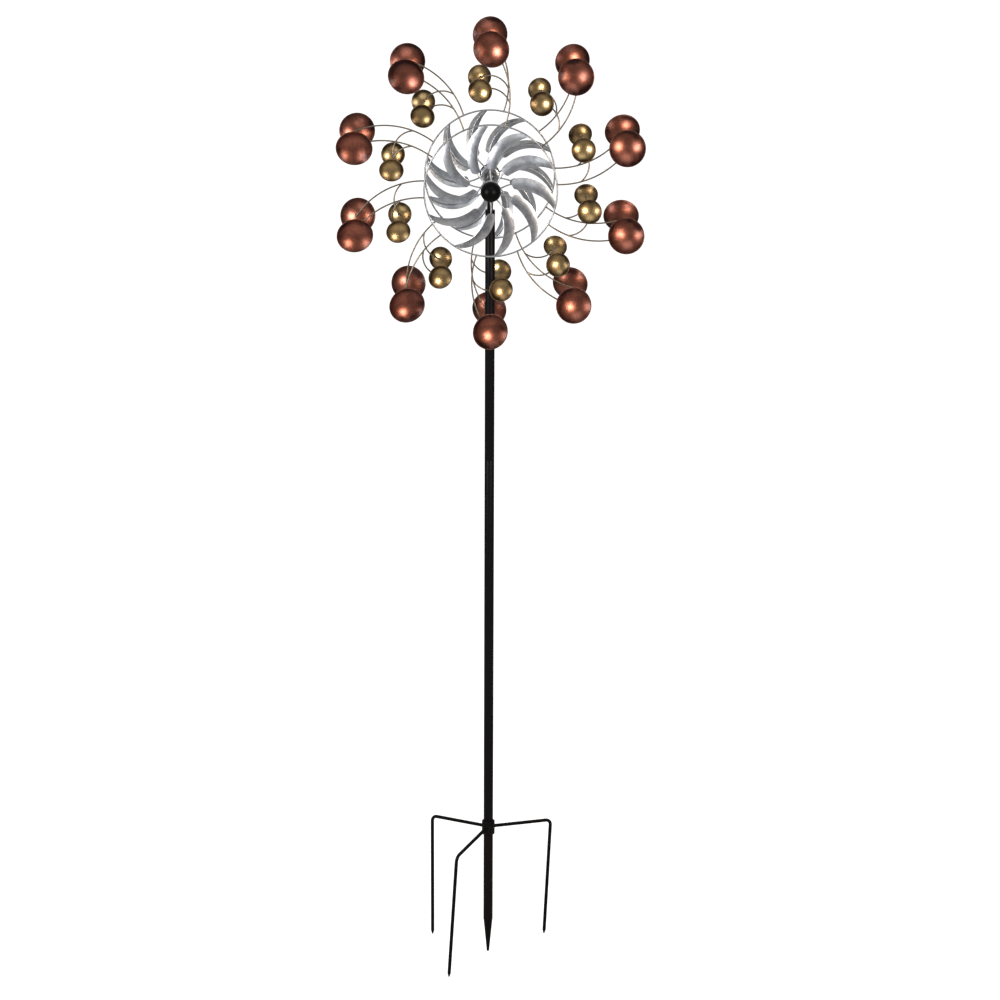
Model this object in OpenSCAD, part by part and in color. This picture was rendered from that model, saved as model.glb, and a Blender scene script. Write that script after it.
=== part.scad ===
// Kinetic wind sculpture: two counter-turning rotors of blades and dished cups
// on one cross axle, carried by a three-piece pole with a pronged ground stake.
// Millimetres. +Z is up, -Y is the front. The origin is on the pole's axis at
// ground level, which is the underside of the stake collar.

/* [Pole] */
// Outside diameter of the pole tubes
pole_d = 19; // [15.5:0.1:24]
// Wall thickness of the pole tubes
pole_wall = 1.2; // [0.8:0.1:2]
// Height of the joint between the lower tube and the middle tube
low_seam_z = 256; // [160:2:380]
// Height of the joint between the middle tube and the upper tube
high_seam_z = 789; // [600:2:900]
// Length of each sleeve that joins two tubes
coupler_len = 100; // [60:2:140]
// Wall thickness of the joining sleeves
coupler_wall = 1.2; // [0.8:0.1:2]

/* [Ground stake] */
// Depth of the stake's point below ground level
stake_depth = 260; // [180:2:340]
// Length of the tapered point
point_len = 72; // [40:1:110]
// Diameter of the blunt end of the point
point_tip_d = 5; // [3:0.5:8]
// Length of the plug that holds the point in the tube
plug_len = 30; // [15:1:50]
// Wall thickness of the collar that carries the prongs
collar_wall = 3.4; // [2.4:0.1:6]
// Height of the collar
collar_h = 28; // [20:1:40]
// Thickness of the collar's floor, which the stake tube is welded under
collar_floor = 4; // [2:0.5:6]
// Diameter of the prong rod
prong_d = 7; // [5:0.5:9]
// Distance from the pole's axis to the upright part of a prong
prong_reach = 145; // [90:1:190]
// Depth of the prong ends below ground level
prong_depth = 262; // [180:2:340]
// Inside radius of the bend at a prong's shoulder
prong_bend_r = 9; // [5:1:25]
// Drop of a prong's arm from the collar to its shoulder
prong_droop = 12; // [0:1:16]
// Length of the ground point on a prong
prong_tip_len = 8; // [4:1:16]
// Direction of the left, right and front prongs, anticlockwise from +X
prong_angles = [142, 27, 244]; // [0:1:360]
// Roll of the left, right and front prongs about their arms
prong_rolls = [0, 5.3, -3.8]; // [-8:0.1:8]

/* [Head and axle] */
// Height of the rotor axle above the ground
axle_z = 1340; // [1080:5:1640]
// Diameter of the threaded axle
axle_d = 8; // [6:0.1:10]
// Wall thickness of the cross barrel on the head
barrel_wall = 4.5; // [3:0.1:7]
// Length of the cross barrel
barrel_len = 28; // [20:1:40]
// Diameter of the neck between the barrel and the pole
neck_d = 11; // [9:0.5:14]
// Distance from the axle down to the top of the pole
neck_drop = 56; // [40:1:90]
// Thickness of the shoulder that sits on the pole
shoulder_h = 3; // [2:0.5:6]
// Length of the stem inside the pole
stem_len = 60; // [40:1:90]
// Diameter of the screw that holds the stem
stem_screw_d = 5; // [3:0.5:6]
// Wall thickness of the tubes on the axle
spacer_wall = 1.6; // [1:0.1:2.4]
// Thickness of the end washers
washer_t = 1.5; // [1:0.1:2]
// Diameter of the end washers
washer_d = 16; // [14:0.5:20]
// Width across the flats of the lock nuts
nut_af = 13; // [12:0.5:15]
// Height of the lock nuts
nut_h = 8; // [6:0.5:9]

/* [Bearings] */
// Outside diameter of a bearing
bearing_od = 22; // [18:0.1:28]
// Width of a bearing
bearing_w = 7; // [6:0.5:9]
// Gap between a bearing's inner and outer races
race_gap = 2.95; // [2:0.05:3.2]
// Diameter of a ball
ball_d = 3.6; // [2.5:0.1:4]
// Number of balls in a bearing
ball_count = 7; // [5:1:9]
// Thickness of the ball cage
cage_t = 0.8; // [0.5:0.1:1]

/* [Hub] */
// Wall thickness of a hub round its bearings
hub_wall = 6.5; // [4:0.1:9]
// Distance from the pole's axis to the inner face of a hub
hub_start = 67; // [50:1:84]
// Length of a hub
hub_len = 28; // [24:1:40]
// Thickness of the shoulder between a hub's two bearings
hub_shoulder = 2; // [1:0.1:3]
// Height of the dome beyond the hub
cap_rise = 17; // [14:0.5:19]
// Length of the cap's skirt over the hub
cap_skirt = 6; // [4:0.5:10]
// Wall thickness of the cap
cap_wall = 1.7; // [1:0.1:2.2]

/* [Ring and spokes] */
// Number of spokes, blades, arms and cup pairs on a rotor
rotor_count = 10; // [6:1:11]
// Diameter of the ring, measured on the wire's centre line
ring_d = 252; // [206:1:306]
// Diameter of the ring's wire
ring_wire = 3.4; // [2:0.1:4]
// Distance from a hub's inner face to the plane of the ring and spokes
ring_inset = 18; // [8:0.5:20]
// Diameter of the spoke wire
spoke_wire = 3.2; // [2:0.1:4]
// Angle that a spoke's curve turns through
spoke_sweep = 104; // [60:1:130]
// Angle of a spoke's outer end round the ring
spoke_angle = 21.2; // [0:0.2:36]
// Angle from a spoke's outer end to its weld on the hub
spoke_lead = 27.9; // [0:0.1:50]

/* [Blades] */
// Thickness of the blade sheet
blade_t = 0.8; // [0.5:0.1:1.5]
// Width of a blade across its widest part
blade_w = 27; // [16:0.5:32]
// Width of a blade's tip, seen square to the ring
blade_tip_w = 6.4; // [2:0.2:10]
// Place of the widest part, as a share of the blade's length from its tip
blade_widest = 0.64; // [0.5:0.02:0.8]
// Angle that a blade is pitched at, from the plane of the ring
blade_pitch = 40; // [20:1:55]
// Radius of the scoop across a blade
blade_scoop_r = 34; // [26:1:80]
// Gap between a blade's tip and the ring's wire
blade_tip_gap = 0.6; // [0.3:0.1:4]
// Gap along the spoke between a blade's root and the hub
blade_root_gap = 25; // [18:0.5:40]

/* [Arms] */
// Diameter of the arm and branch wire
arm_wire = 3; // [2:0.1:4]
// Angle of a large cup round the rotor
arm_angle = 18; // [0:1:36]
// Angle that an arm's root lags behind its cup
arm_lag = 12.2; // [6:0.1:16]
// Angle that an arm's curve turns through
arm_sweep = 56.7; // [30:0.1:80]
// Place of the branch on the arm, as a share of the arm's curve
branch_at = 0.29; // [0.2:0.01:0.4]
// Angle that a branch's curve turns through
branch_sweep = 91.5; // [60:0.5:110]
// Length of wire past the middle of a cup
wire_end = 5; // [2:0.5:8]

/* [Cups] */
// Distance from the ring out to the middle of a large cup
large_out = 144; // [120:1:173]
// Rim diameter of a large cup
large_d = 69.6; // [56:0.2:76]
// Depth of a large cup
large_depth = 13.3; // [9:0.1:18]
// Distance from the ring's plane out to the rim of a large cup
large_rise = 12; // [8:0.5:24]
// Distance from the ring out to the middle of a small cup
small_out = 65.5; // [56:0.5:78]
// Rim diameter of a small cup
small_d = 46.6; // [36:0.2:52]
// Depth of a small cup
small_depth = 8.9; // [6:0.1:12]
// Distance from the ring's plane out to the rim of a small cup
small_rise = 0; // [-2:0.5:8]
// Angle that a small cup leads its large cup by
small_lead = 6.1; // [4:0.1:9]
// Wall thickness of the cups
cup_wall = 0.9; // [0.6:0.1:1.5]
// Diameter of the rolled edge round a cup
cup_bead = 1.8; // [1.2:0.1:2.4]
// Angle that the cups lean out of the ring's plane
cup_tilt = 15.5; // [0:0.5:25]
// Direction of that lean, from the line through the hub
cup_lean = 100; // [60:1:140]

/* [Fits] */
// Radial clearance of a part that slips into or over another
slip_clear = 0.1; // [0.05:0.01:0.2]
// Radial clearance of the bearings' rolling parts
run_clear = 0.05; // [0.02:0.01:0.08]
// Depth that welded parts run into each other
weld = 0.4; // [0.2:0.1:0.6]

/* [Hidden] */
$fn = 96;
pole_r = pole_d / 2;
pole_ri = pole_r - pole_wall;
coupler_r = pole_ri - slip_clear;
tube_low_z = point_len - stake_depth;
collar_r = pole_r + slip_clear + collar_wall;
bend_thinning = 0.2;
collar_z = collar_h / 2;
pole_top_z = axle_z - neck_drop;
axle_r = axle_d / 2;
race_bore_r = axle_r + run_clear;
barrel_r = axle_r + run_clear + barrel_wall;
bearing_r = bearing_od / 2;
race_t = (bearing_r - race_bore_r - race_gap) / 2;
ball_pitch_r = (race_bore_r + bearing_r) / 2;
spacer_r = race_bore_r + spacer_wall;
near_bearing = hub_start + 1.5;
far_bearing = hub_start + hub_len - 0.5 - bearing_w;
nut_start = far_bearing + bearing_w + washer_t;
axle_half = nut_start + nut_h + 1.5;
hub_r = bearing_r + run_clear + hub_wall;
hub_end = hub_start + hub_len;
cap_r = hub_r + slip_clear + cap_wall;
ring_r = ring_d / 2;
ring_offset = hub_start + ring_inset;
large_reach = ring_r + large_out;
large_offset = ring_offset + large_rise;
small_reach = ring_r + small_out;
small_offset = ring_offset + small_rise;
step = 360 / rotor_count;
cup_n = [sin(cup_tilt) * cos(cup_lean), sin(cup_tilt) * sin(cup_lean), cos(cup_tilt)];
wire_seat = arm_wire / 2 - weld;
large_apex = [large_reach, 0, large_offset] - cup_n * large_depth;
small_apex = [small_reach, 0, small_offset] - cup_n * small_depth;
arm_root = [ring_r * cos(arm_lag), -ring_r * sin(arm_lag), ring_offset];
arm_end = large_apex - cup_n * wire_seat;
branch_root = arc_point(arm_root, arm_end, arm_sweep, branch_at);
branch_end = turned(small_apex - cup_n * wire_seat, small_lead);
spoke_outer = [ring_r, 0, ring_offset];
spoke_inner = [(hub_r - weld) * cos(spoke_lead), (hub_r - weld) * sin(spoke_lead), ring_offset];

// ---- Geometry of a curved wire that turns left on its way from p to q ----

// The point p turned about the rotor's axis
function turned(p, a) = [p.x * cos(a) - p.y * sin(a), p.x * sin(a) + p.y * cos(a), p.z];

// Radius of an arc that turns through an angle between two points
function arc_r(p, q, sweep) = norm(q - p) / 2 / sin(sweep / 2);

// Slope of the line between two points, out of the rotor's plane
function rise(p, q) = asin((q.z - p.z) / norm(q - p));

// Direction of the line between two points, in the rotor's plane
function heading(p, q) = atan2(q.y - p.y, q.x - p.x);

// Point at a share of the way along the arc
function arc_point(p, q, sweep, share) =
    let (r = arc_r(p, q, sweep),
         a = -90 - sweep / 2 + share * sweep,
         x = norm(q - p) / 2 + r * cos(a),
         y = r * (cos(sweep / 2) + sin(a)),
         el = rise(p, q))
    p + turned([x * cos(el), y, x * sin(el)], heading(p, q));

// ---- Shared shapes ----

// Round wire along the arc, with a length of spare wire past q
module wire_arc(p, q, sweep, wire, spare = 0) {
    r = arc_r(p, q, sweep);
    spare_angle = spare / r * 180 / PI;
    translate(p)
        rotate([0, -rise(p, q), heading(p, q)])
            translate([norm(q - p) / 2, r * cos(sweep / 2), 0])
                rotate([0, 0, -90 - sweep / 2])
                    rotate_extrude(angle = sweep + spare_angle)
                        translate([r, 0])
                            circle(d = wire);
}

// Tube standing on the XY plane
module tube(ro, ri, h) {
    difference() {
        cylinder(r = ro, h = h);
        translate([0, 0, -1])
            cylinder(r = ri, h = h + 2);
    }
}

// Moves a rotor part from its own frame, axis +Z outwards, to the front of the pole
module in_front() {
    translate([0, 0, axle_z])
        rotate([90, 0, 0])
            children();
}

// The same, mirrored to the rear of the pole
module behind() {
    mirror([0, 1, 0])
        in_front()
            children();
}

// A copy of the children on each side of the pole
module both_sides() {
    in_front()
        children();
    behind()
        children();
}

// One copy of the children for each arm, from a first angle
module round_rotor(first) {
    for (i = [0:rotor_count - 1])
        rotate([0, 0, first + i * step])
            children();
}

// ---- Ground stake and pole ----

// Tube below ground level, between the point and the collar
module stake_tube() {
    color("#141316")
        translate([0, 0, tube_low_z])
            tube(pole_r, pole_ri, -tube_low_z);
}

// Tapered point with a plug that is driven into the tube
module stake_point() {
    color("#1d1817")
        translate([0, 0, -stake_depth]) {
            cylinder(d1 = point_tip_d, d2 = pole_d, h = point_len);
            translate([0, 0, point_len])
                cylinder(r = coupler_r, h = plug_len);
        }
}

// Socket for the pole, with a floor; the three prongs are welded round it
module stake_collar() {
    color("#121114")
        difference() {
            tube(collar_r, coupler_r + slip_clear, collar_h);
            translate([0, 0, collar_floor])
                cylinder(r = pole_r + slip_clear, h = collar_h);
        }
}

// One prong: a drooping arm, a bend and an upright with a ground point. The bend
// is a little thinner than the rod and runs into the straight lengths.
module prong(azimuth, roll) {
    root = collar_r - weld;
    bend_r = prong_bend_r + prong_d / 2;
    droop = atan2(prong_droop, prong_reach - root);
    bend = 90 - droop;
    tangent = bend_r * tan(bend / 2);
    run_in = weld / bend_r * 180 / PI;
    arm_len = norm([prong_reach - root, prong_droop]) - tangent;
    upright_len = prong_depth + collar_z - prong_droop - tangent - prong_tip_len;
    color("#121114")
        translate([0, 0, collar_z])
            rotate([0, 0, azimuth])
                rotate([roll, 0, 0])
                    translate([prong_reach - bend_r, 0, -prong_droop - tangent]) {
                        rotate([0, -bend, 0])
                            translate([bend_r, 0, 0])
                                cylinder(d = prong_d, h = arm_len);
                        rotate([90, 0, 0])
                            rotate([0, 0, -run_in])
                                rotate_extrude(angle = bend + 2 * run_in)
                                    translate([bend_r, 0])
                                        circle(d = prong_d - bend_thinning);
                        translate([bend_r, 0, -upright_len])
                            cylinder(d = prong_d, h = upright_len);
                        translate([bend_r, 0, -upright_len - prong_tip_len])
                            cylinder(d1 = prong_d / 3, d2 = prong_d, h = prong_tip_len);
                    }
}

module prong_left() {
    prong(prong_angles[0], prong_rolls[0]);
}

module prong_right() {
    prong(prong_angles[1], prong_rolls[1]);
}

module prong_front() {
    prong(prong_angles[2], prong_rolls[2]);
}

// Lower length of the pole, standing in the collar
module pole_lower() {
    color("#161518")
        translate([0, 0, collar_floor])
            tube(pole_r, pole_ri, low_seam_z - collar_floor);
}

// Middle length of the pole
module pole_middle() {
    color("#1c1a1f")
        translate([0, 0, low_seam_z])
            tube(pole_r, pole_ri, high_seam_z - low_seam_z);
}

// Upper length of the pole, drilled for the head's screw
module pole_upper() {
    color("#211e25")
        difference() {
            translate([0, 0, high_seam_z])
                tube(pole_r, pole_ri, pole_top_z - high_seam_z);
            stem_screw_hole(slip_clear);
        }
}

// Sleeve across a joint between two tubes
module coupler(z) {
    color("#3a393d")
        translate([0, 0, z - coupler_len / 2])
            tube(coupler_r, coupler_r - coupler_wall, coupler_len);
}

module stake_coupler() {
    coupler(0);
}

module lower_coupler() {
    coupler(low_seam_z);
}

module upper_coupler() {
    coupler(high_seam_z);
}

// ---- Head and axle ----

// Line of the screw that holds the head's stem, entering from the rear
module stem_screw_hole(clear) {
    translate([0, 0, pole_top_z - stem_len / 2])
        rotate([-90, 0, 0])
            cylinder(d = stem_screw_d + 2 * clear, h = pole_r + 10);
}

// Head that plugs into the pole and carries the axle in a cross barrel
module head_post() {
    color("#17161a")
        difference() {
            union() {
                translate([0, 0, pole_top_z - stem_len])
                    cylinder(r = coupler_r, h = stem_len);
                translate([0, 0, pole_top_z])
                    cylinder(r = pole_r, h = shoulder_h);
                translate([0, 0, pole_top_z + shoulder_h])
                    cylinder(d = neck_d, h = neck_drop - shoulder_h);
                translate([0, barrel_len / 2, axle_z])
                    rotate([90, 0, 0])
                        cylinder(r = barrel_r, h = barrel_len);
            }
            translate([0, barrel_len, axle_z])
                rotate([90, 0, 0])
                    cylinder(r = axle_r + run_clear, h = 2 * barrel_len);
            stem_screw_hole(slip_clear);
        }
}

// Screw through the pole's wall into the stem
module head_screw() {
    head_h = 2;
    socket_h = 1.2;
    color("#2a292d")
        translate([0, 0, pole_top_z - stem_len / 2])
            rotate([-90, 0, 0])
                difference() {
                    union() {
                        translate([0, 0, 2])
                            cylinder(d = stem_screw_d, h = pole_r - 2 + head_h / 2);
                        translate([0, 0, pole_r + slip_clear])
                            cylinder(d = stem_screw_d * 1.7, h = head_h);
                    }
                    translate([0, 0, pole_r + head_h + slip_clear - socket_h])
                        cylinder(d = stem_screw_d * 0.75, h = socket_h + 1, $fn = 6);
                }
}

// Threaded axle through both hubs and the head
module axle() {
    color("#b9bcc0")
        in_front()
            translate([0, 0, -axle_half])
                cylinder(r = axle_r, h = 2 * axle_half);
}

// Long tubes on the axle between the head and the hubs' first bearings
module axle_spacers() {
    color("#c6c9cc")
        both_sides()
            translate([0, 0, barrel_len / 2])
                tube(spacer_r, race_bore_r, near_bearing - barrel_len / 2);
}

// Short tubes that keep a hub's two inner races apart
module bearing_spacers() {
    color("#c6c9cc")
        both_sides()
            translate([0, 0, near_bearing + bearing_w])
                tube(spacer_r, race_bore_r, far_bearing - near_bearing - bearing_w);
}

// Washers under the lock nuts
module axle_washers() {
    color("#b9bcc0")
        both_sides()
            translate([0, 0, nut_start - washer_t])
                tube(washer_d / 2, race_bore_r, washer_t);
}

// Lock nuts at the ends of the axle
module axle_nuts() {
    color("#a9acb0")
        both_sides()
            translate([0, 0, nut_start])
                difference() {
                    cylinder(d = nut_af / cos(30), h = nut_h, $fn = 6);
                    translate([0, 0, -1])
                        cylinder(r = race_bore_r, h = nut_h + 2);
                }
}

// ---- Bearings ----

// Each child at the place of each of a hub's two bearings
module at_bearings() {
    for (start = [near_bearing, far_bearing])
        translate([0, 0, start])
            children();
}

// Rings that the balls run between, from one radius to another, with a groove
module race(ri, ro) {
    rotate_extrude()
        difference() {
            translate([ri, 0])
                square([ro - ri, bearing_w]);
            translate([ball_pitch_r, bearing_w / 2])
                circle(d = ball_d + 2 * run_clear);
        }
}

// Inner races of all four bearings, clamped on the axle
module inner_races() {
    color("#cfd1d4")
        both_sides()
            at_bearings()
                race(race_bore_r, race_bore_r + race_t);
}

// Ring of balls with a given radial clearance
module ball_ring(clear) {
    for (i = [0:ball_count - 1])
        rotate([0, 0, i * 360 / ball_count])
            translate([ball_pitch_r, 0, bearing_w / 2])
                sphere(d = ball_d + 2 * clear);
}

// Balls of all four bearings
module bearing_balls() {
    color("#e0e2e4")
        both_sides()
            at_bearings()
                ball_ring(0);
}

// Cages that hold the balls at equal distances
module ball_cages() {
    color("#8a8d90")
        both_sides()
            at_bearings()
                difference() {
                    translate([0, 0, bearing_w / 2 - ball_d / 2])
                        tube(ball_pitch_r + cage_t / 2, ball_pitch_r - cage_t / 2, ball_d);
                    ball_ring(run_clear);
                }
}

// Outer races of one hub
module outer_races() {
    color("#cfd1d4")
        at_bearings()
            race(bearing_r - race_t, bearing_r);
}

// ---- Rotor, in its own frame with the axis along +Z, outwards ----

// Hub body, bored from each end for a bearing and chamfered outside
module hub() {
    chamfer = 1;
    seat_r = bearing_r + run_clear;
    color("#c3c6ca")
        rotate_extrude()
            difference() {
                polygon([
                    [bearing_r - hub_shoulder, hub_start],
                    [hub_r - chamfer, hub_start],
                    [hub_r, hub_start + chamfer],
                    [hub_r, hub_end - chamfer],
                    [hub_r - chamfer, hub_end],
                    [bearing_r - hub_shoulder, hub_end]
                ]);
                translate([0, hub_start - 1])
                    square([seat_r, near_bearing + bearing_w - hub_start + 1]);
                translate([0, far_bearing])
                    square([seat_r, hub_end - far_bearing + 1]);
            }
}

// Domed cap pressed over the outer end of the hub
module cap() {
    dome_r = (cap_r * cap_r + cap_rise * cap_rise) / 2 / cap_rise;
    color("#0c0b0d")
        rotate_extrude()
            difference() {
                intersection() {
                    union() {
                        translate([0, hub_end - cap_skirt])
                            square([cap_r, cap_skirt]);
                        intersection() {
                            translate([0, hub_end + cap_rise - dome_r])
                                circle(r = dome_r);
                            translate([0, hub_end])
                                square([cap_r, cap_rise]);
                        }
                    }
                    translate([0, hub_end - cap_skirt])
                        square([cap_r, cap_skirt + cap_rise]);
                }
                translate([0, hub_end - cap_skirt - 1])
                    square([hub_r + slip_clear, cap_skirt + 1]);
                intersection() {
                    translate([0, hub_end + cap_rise - dome_r])
                        circle(r = dome_r - cap_wall);
                    translate([0, hub_end - 1])
                        square([hub_r - cap_wall, cap_rise + 1]);
                }
            }
}

// Wire ring that the spokes and arms are welded to
module ring() {
    color("#b4b8bc")
        translate([0, 0, ring_offset])
            rotate_extrude()
                translate([ring_r, 0])
                    circle(d = ring_wire);
}

// Curved spokes from the ring to the hub
module spokes() {
    color("#b4b8bc")
        round_rotor(spoke_angle)
            wire_arc(spoke_outer, spoke_inner, spoke_sweep, spoke_wire);
}

// Outline of a blade about the centre of its spoke's curve, from its tip's angle
module blade_outline(r, tip_angle, span) {
    wide = span * blade_widest;
    half_w = blade_w / 2 * cos(blade_pitch);
    half_tip = blade_tip_w / 2;
    root_angle = span - half_w / r * 180 / PI;
    far = 2 * r;
    // distance from the curve's centre to the centre of an edge's circle, which
    // passes the widest part at rho and the tip at t
    function edge_shift(rho, t) = (rho * rho - t * t) / 2 / (rho - t * cos(wide));
    out_shift = edge_shift(r + half_w, r + half_tip);
    in_shift = edge_shift(r - half_w, r - half_tip);
    rotate([0, 0, tip_angle])
        intersection() {
            difference() {
                rotate([0, 0, wide])
                    translate([out_shift, 0])
                        circle(r = r + half_w - out_shift);
                rotate([0, 0, wide])
                    translate([in_shift, 0])
                        circle(r = r - half_w - in_shift);
            }
            union() {
                polygon([
                    [0, 0],
                    far * [cos(-15), sin(-15)],
                    far * [cos(root_angle / 2), sin(root_angle / 2)],
                    far * [cos(root_angle), sin(root_angle)]
                ]);
                rotate([0, 0, root_angle])
                    translate([r, 0])
                        circle(r = half_w);
            }
        }
}

// Scooped and pitched section of a blade, swept round the spoke's curve
module blade_sweep(r, angle) {
    middle_z = (spoke_wire + blade_t) / 2 / cos(blade_pitch) - weld;
    rotate_extrude(angle = angle)
        translate([r, middle_z])
            rotate(-blade_pitch)
                intersection() {
                    translate([0, blade_scoop_r])
                        difference() {
                            circle(r = blade_scoop_r + blade_t / 2);
                            circle(r = blade_scoop_r - blade_t / 2);
                        }
                    translate([-blade_w * 0.7, -blade_w / 2])
                        square([blade_w * 1.4, blade_w * 1.2]);
                }
}

// One blade on the spoke whose place round the rotor is given
module blade(index) {
    r = arc_r(spoke_outer, spoke_inner, spoke_sweep);
    lead = 90 + spoke_sweep / 2 - heading(spoke_outer, spoke_inner);
    middle = (spoke_outer + spoke_inner) / 2;
    normal = turned([0, 1, 0], heading(spoke_outer, spoke_inner));
    centre = middle + normal * r * cos(spoke_sweep / 2);
    span = spoke_sweep - blade_root_gap / r * 180 / PI;
    color("#aeb4ba")
        rotate([0, 0, spoke_angle + (index - 1) * step])
            translate(centre)
                intersection() {
                    rotate([0, 0, -lead - 10])
                        blade_sweep(r, span + 20);
                    translate([0, 0, -blade_w])
                        linear_extrude(2 * blade_w)
                            intersection() {
                                blade_outline(r, -lead, span);
                                translate([-centre.x, -centre.y])
                                    circle(r = ring_r - ring_wire / 2 - blade_tip_gap);
                            }
                }
}

// Arms from the ring to the large cups
module arms() {
    color("#8a7350")
        round_rotor(arm_angle)
            wire_arc(arm_root, arm_end, arm_sweep, arm_wire, wire_end);
}

// Branches from the arms to the small cups
module branches() {
    color("#8a7350")
        round_rotor(arm_angle)
            wire_arc(branch_root, branch_end, branch_sweep, arm_wire, wire_end);
}

// Dished cup with a rolled edge, opening along +Z, its lowest point at the origin
module dish(d, depth) {
    r = (d * d / 4 + depth * depth) / 2 / depth;
    rotate_extrude() {
        intersection() {
            translate([0, r])
                difference() {
                    circle(r = r);
                    circle(r = r - cup_wall);
                }
            square([d / 2, depth]);
        }
        translate([d / 2 - cup_bead / 2, depth])
            circle(d = cup_bead);
    }
}

// A ring of cups at a radius, leaning out of the rotor's plane
module cups(first, reach, offset, d, depth) {
    round_rotor(first)
        translate([reach, 0, offset] - cup_n * depth)
            rotate([0, cup_tilt, cup_lean])
                dish(d, depth);
}

module large_cups() {
    color("#8a4a32")
        cups(arm_angle, large_reach, large_offset, large_d, large_depth);
}

module small_cups() {
    color("#9a7f45")
        cups(arm_angle + small_lead, small_reach, small_offset, small_d, small_depth);
}

stake_tube();
stake_point();
stake_collar();
prong_left();
prong_right();
prong_front();
pole_lower();
pole_middle();
pole_upper();
stake_coupler();
lower_coupler();
upper_coupler();
head_post();
head_screw();
axle();
axle_spacers();
bearing_spacers();
axle_washers();
axle_nuts();
inner_races();
bearing_balls();
ball_cages();
in_front() hub();  // front_hub
in_front() cap();  // front_cap
in_front() outer_races();  // front_outer_races
in_front() ring();  // front_ring
in_front() spokes();  // front_spokes
in_front() arms();  // front_arms
in_front() branches();  // front_branches
in_front() large_cups();  // front_large_cups
in_front() small_cups();  // front_small_cups
behind() hub();  // rear_hub
behind() cap();  // rear_cap
behind() outer_races();  // rear_outer_races
behind() ring();  // rear_ring
behind() spokes();  // rear_spokes
behind() arms();  // rear_arms
behind() branches();  // rear_branches
behind() large_cups();  // rear_large_cups
behind() small_cups();  // rear_small_cups
for (i = [1:rotor_count])
    in_front() blade(i);
for (i = [1:rotor_count])
    behind() blade(i);
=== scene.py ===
"""Looks of a kinetic wind sculpture.

Two counter-turning rotors stand one before and one behind a black pole. Each has a
wire ring with curved spokes and sheet-metal blades inside it, and curved arms outside
it that carry large copper dishes and, on branches, small gold ones. The pole is three
tubes on a pronged ground stake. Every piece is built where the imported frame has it.
"""

import logging
import math
import random
from dataclasses import dataclass
from enum import Enum
from functools import cached_property
from typing import Callable, Optional, Sequence, Union

import bmesh
import bpy
from mathutils import Matrix, Vector, noise


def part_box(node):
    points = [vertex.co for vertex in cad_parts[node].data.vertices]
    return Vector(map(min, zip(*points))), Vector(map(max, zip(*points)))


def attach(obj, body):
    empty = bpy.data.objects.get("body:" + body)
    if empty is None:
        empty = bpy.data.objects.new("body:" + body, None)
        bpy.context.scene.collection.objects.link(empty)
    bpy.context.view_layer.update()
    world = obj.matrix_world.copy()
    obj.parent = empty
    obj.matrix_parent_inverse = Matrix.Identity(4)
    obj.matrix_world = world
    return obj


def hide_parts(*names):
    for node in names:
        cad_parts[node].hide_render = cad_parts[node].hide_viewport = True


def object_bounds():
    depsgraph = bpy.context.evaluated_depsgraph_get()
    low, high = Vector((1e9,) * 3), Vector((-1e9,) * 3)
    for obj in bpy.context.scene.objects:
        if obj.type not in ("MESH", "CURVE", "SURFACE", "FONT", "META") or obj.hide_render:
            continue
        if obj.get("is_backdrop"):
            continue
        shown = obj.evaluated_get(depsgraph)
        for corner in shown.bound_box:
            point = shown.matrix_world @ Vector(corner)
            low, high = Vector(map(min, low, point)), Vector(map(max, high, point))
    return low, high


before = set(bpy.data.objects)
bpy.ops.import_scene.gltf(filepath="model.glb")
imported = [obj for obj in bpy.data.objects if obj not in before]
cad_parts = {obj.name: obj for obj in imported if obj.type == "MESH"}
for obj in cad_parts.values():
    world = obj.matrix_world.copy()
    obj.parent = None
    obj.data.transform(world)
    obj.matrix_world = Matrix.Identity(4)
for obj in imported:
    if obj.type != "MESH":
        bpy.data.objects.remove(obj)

LOG = logging.getLogger("sculpture")
CAD_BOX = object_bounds()
AXLE_Z = sum(corner.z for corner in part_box("axle")) / 2
MM = 0.001
TURN = 2 * math.pi
MERGE = 0.0001 * MM

# The mesh attributes that patterns and wear follow.
GRAIN = "grain"
EDGE = "edge"

# How fine each stretched pattern is along its frame's axes, in cycles a metre.
STROKES_FINE = (60, 620, 60)
HATCHING_FINE = (420, 90, 60)
SCUFFS_FINE = (160, 160, 22)
TURNING_FINE = (30, 2400, 30)

# How far zinc's streaks are drawn out, in the size of its spangles.
STREAKS_DRAWN = (0.8, 9.0, 4.0)

# The sockets of a Mix node that mixes colours: its factor and two colours, and its result.
COLOUR_MIX_INPUTS = (0, 6, 7)
COLOUR_MIX_RESULT = 2

GREY = (0.5, 0.5, 0.5, 1)
WHITE = (1, 1, 1, 1)

# The inner and outer edges of a blade.
EDGES = (-1, 1)

# The body that stands still, and the way each of its prongs goes out from the stake, in
# degrees anticlockwise from +X seen from above.
STAND = "stand"
PRONG_ANGLES = {"left": 142.0, "right": 27.0, "front": 244.0}

Colour = tuple[float, float, float, float]
Outline = list[tuple[float, float]]
Socket = bpy.types.NodeSocket
Value = Union[float, Colour, Socket]


class Side(Enum):
    """The side of the pole that a rotor is on, which names its body and nodes."""

    FRONT = "front"
    REAR = "rear"

    @property
    def body(self) -> str:
        """The CAD body that the rotor's pieces ride on."""
        return f"{self.value}_rotor"

    @property
    def place(self) -> Matrix:
        """The matrix from a rotor's own frame, +Z outwards, to the row frame."""
        upright = Matrix.Translation((0, 0, AXLE_Z)) @ Matrix.Rotation(math.pi / 2, 4, "X")
        if self is Side.REAR:
            return Matrix.Scale(-1, 4, (0, 1, 0)) @ upright
        return upright

    def node(self, part: str) -> str:
        """The name of one of this rotor's CAD nodes."""
        return f"{self.value}_{part}"


# ---------------------------------------------------------------- geometry helpers


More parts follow.
